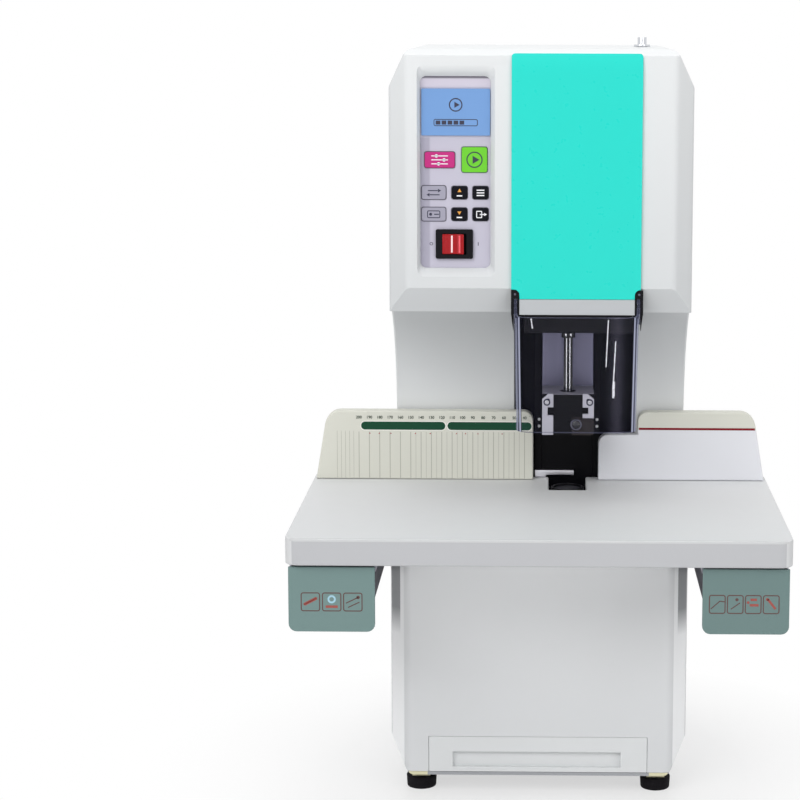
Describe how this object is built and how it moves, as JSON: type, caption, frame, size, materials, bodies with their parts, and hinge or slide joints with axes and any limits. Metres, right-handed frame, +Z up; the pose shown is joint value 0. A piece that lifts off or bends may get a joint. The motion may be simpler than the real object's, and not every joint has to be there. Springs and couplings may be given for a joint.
{
  "type": "document riveting machine",
  "caption": "Desk machine that drills a stack of paper and sets a tube rivet: head over a wide table, clear guard, press foot, hollow drill, fences, storage bins, chip drawer.",
  "frame": {"origin": "on the ground, midway between the table's front edge and the back of the body, on the body's centre line", "axes": "+X to the operator's right, +Y to the back, +Z up"},
  "size_m": [0.4386, 0.43, 0.7058],
  "materials": {
    "shell": "light grey powder coat, fine orange peel",
    "ivory": "ivory moulded plastic with printed scales",
    "teal": "glossy turquoise moulded cover",
    "bin": "grey-green moulded plastic",
    "black_paint": "satin black paint",
    "black_plastic": "fine-textured black plastic",
    "steel": "brushed zinc-plated steel",
    "chrome": "ground and polished steel",
    "cast": "dark painted casting",
    "panel": "matt membrane panel",
    "lcd": "lit blue display glass",
    "red": "translucent red rocker",
    "rubber": "black rubber",
    "nylon": "dark nylon cutting pad",
    "clear": "clear moulded plastic, polished",
    "copper": "varnished winding and laminated core",
    "circuit": "green circuit board",
    "key_pink": "pink key",
    "key_green": "green key",
    "key_grey": "grey key",
    "key_black": "black key"
  },
  "bodies": {
    "machine_body": {"base_plate": "shell", "rubber_foot_front_left": "rubber", "rubber_foot_front_right": "rubber", "rubber_foot_rear_left": "rubber", "rubber_foot_rear_right": "rubber", "lower_cover": "shell", "body_cover": "shell", "head_front_cover": "shell", "rear_cover": "shell", "power_inlet": "black_plastic", "table_top": "shell", "fence_left": "ivory", "fence_right": "ivory", "bin_runner_left": "steel", "bin_runner_right": "steel", "c_frame": "black_paint", "die_holder": "black_paint", "back_stop": "steel", "head_casting": "cast", "drill_guide_rod_left": "chrome", "drill_guide_rod_right": "chrome", "top_plate": "steel", "lift_motor": "cast", "press_motor": "cast", "front_strip": "teal", "control_panel": "panel", "lcd_screen": "lcd", "rocker_bezel": "black_plastic", "guard_hinge_left": "black_plastic", "guard_hinge_right": "black_plastic", "power_transformer": "copper", "control_board": "circuit", "chip_chute": "steel", "tube_nozzle": "chrome"},
    "storage_bin_left_body": {"storage_bin_left": "bin"},
    "storage_bin_right_body": {"storage_bin_right": "bin"},
    "chip_drawer_body": {"chip_drawer": "shell"},
    "cutting_pad_body": {"cutting_pad": "nylon"},
    "drill_unit": {"drill_carriage": "cast", "drill_motor": "black_paint"},
    "drill_spindle": {"spindle": "steel", "hollow_drill": "chrome"},
    "press_unit": {"press_block": "black_plastic", "press_plate_left": "steel", "press_plate_right": "steel", "press_slide": "steel"},
    "lift_screw_body": {"lift_screw": "steel"},
    "press_screw_body": {"press_screw": "steel"},
    "power_rocker_body": {"power_rocker": "red"},
    "guard_body": {"guard": "clear"},
    "preset_key_body": {"preset_key": "key_pink"},
    "start_key_body": {"start_key": "key_green"},
    "mode_key_body": {"mode_key": "key_grey"},
    "up_key_body": {"up_key": "key_black"},
    "menu_key_body": {"menu_key": "key_black"},
    "manual_key_body": {"manual_key": "key_grey"},
    "down_key_body": {"down_key": "key_black"},
    "exit_key_body": {"exit_key": "key_black"}
  },
  "joints": [
    {"name": "drill_feed", "type": "slide", "parent": "machine_body", "child": "drill_unit", "axis": [0, 0, -1], "range_m": [0, 0.0587]},
    {"name": "spindle_spin", "type": "hinge", "parent": "drill_unit", "child": "drill_spindle", "pos_m": [0.0264, 0.007, 0.4], "axis": [0, 0, -1], "continuous": true},
    {"name": "press_feed", "type": "slide", "parent": "machine_body", "child": "press_unit", "axis": [0, 0, -1], "range_m": [0, 0.051]},
    {"name": "lift_screw_spin", "type": "hinge", "parent": "machine_body", "child": "lift_screw_body", "pos_m": [0.0264, 0.06, 0.55], "axis": [0, 0, 1], "continuous": true},
    {"name": "press_screw_spin", "type": "hinge", "parent": "machine_body", "child": "press_screw_body", "pos_m": [0.0264, 0.06, 0.33], "axis": [0, 0, 1], "continuous": true},
    {"name": "cutting_pad_turn", "type": "hinge", "parent": "machine_body", "child": "cutting_pad_body", "pos_m": [0.0264, 0.007, 0.2767], "axis": [0, 0, 1], "continuous": true},
    {"name": "guard_hinge", "type": "hinge", "parent": "machine_body", "child": "guard_body", "pos_m": [0.0334, -0.066, 0.4642], "axis": [-1, 0, 0], "range_deg": [0, 95]},
    {"name": "storage_bin_left_slide", "type": "slide", "parent": "machine_body", "child": "storage_bin_left_body", "axis": [0, -1, 0], "range_m": [0, 0.14]},
    {"name": "storage_bin_right_slide", "type": "slide", "parent": "machine_body", "child": "storage_bin_right_body", "axis": [0, -1, 0], "range_m": [0, 0.14]},
    {"name": "chip_drawer_slide", "type": "slide", "parent": "machine_body", "child": "chip_drawer_body", "axis": [0, -1, 0], "range_m": [0, 0.11]},
    {"name": "power_rocker_hinge", "type": "hinge", "parent": "machine_body", "child": "power_rocker_body", "pos_m": [-0.0787, -0.0545, 0.5197], "axis": [0, 0, 1], "range_deg": [0, 16]},
    {"name": "preset_key_press", "type": "slide", "parent": "machine_body", "child": "preset_key_body", "axis": [0, 1, 0], "range_m": [0, 0.0008], "stiffness_N_per_m": 300},
    {"name": "start_key_press", "type": "slide", "parent": "machine_body", "child": "start_key_body", "axis": [0, 1, 0], "range_m": [0, 0.0008], "stiffness_N_per_m": 300},
    {"name": "mode_key_press", "type": "slide", "parent": "machine_body", "child": "mode_key_body", "axis": [0, 1, 0], "range_m": [0, 0.0008], "stiffness_N_per_m": 300},
    {"name": "up_key_press", "type": "slide", "parent": "machine_body", "child": "up_key_body", "axis": [0, 1, 0], "range_m": [0, 0.0008], "stiffness_N_per_m": 300},
    {"name": "menu_key_press", "type": "slide", "parent": "machine_body", "child": "menu_key_body", "axis": [0, 1, 0], "range_m": [0, 0.0008], "stiffness_N_per_m": 300},
    {"name": "manual_key_press", "type": "slide", "parent": "machine_body", "child": "manual_key_body", "axis": [0, 1, 0], "range_m": [0, 0.0008], "stiffness_N_per_m": 300},
    {"name": "down_key_press", "type": "slide", "parent": "machine_body", "child": "down_key_body", "axis": [0, 1, 0], "range_m": [0, 0.0008], "stiffness_N_per_m": 300},
    {"name": "exit_key_press", "type": "slide", "parent": "machine_body", "child": "exit_key_body", "axis": [0, 1, 0], "range_m": [0, 0.0008], "stiffness_N_per_m": 300}
  ],
  "couplings": [
    {"joint": "lift_screw_spin", "follows": "drill_feed", "rad_per_m": 785.4},
    {"joint": "press_screw_spin", "follows": "press_feed", "rad_per_m": 785.4}
  ]
}
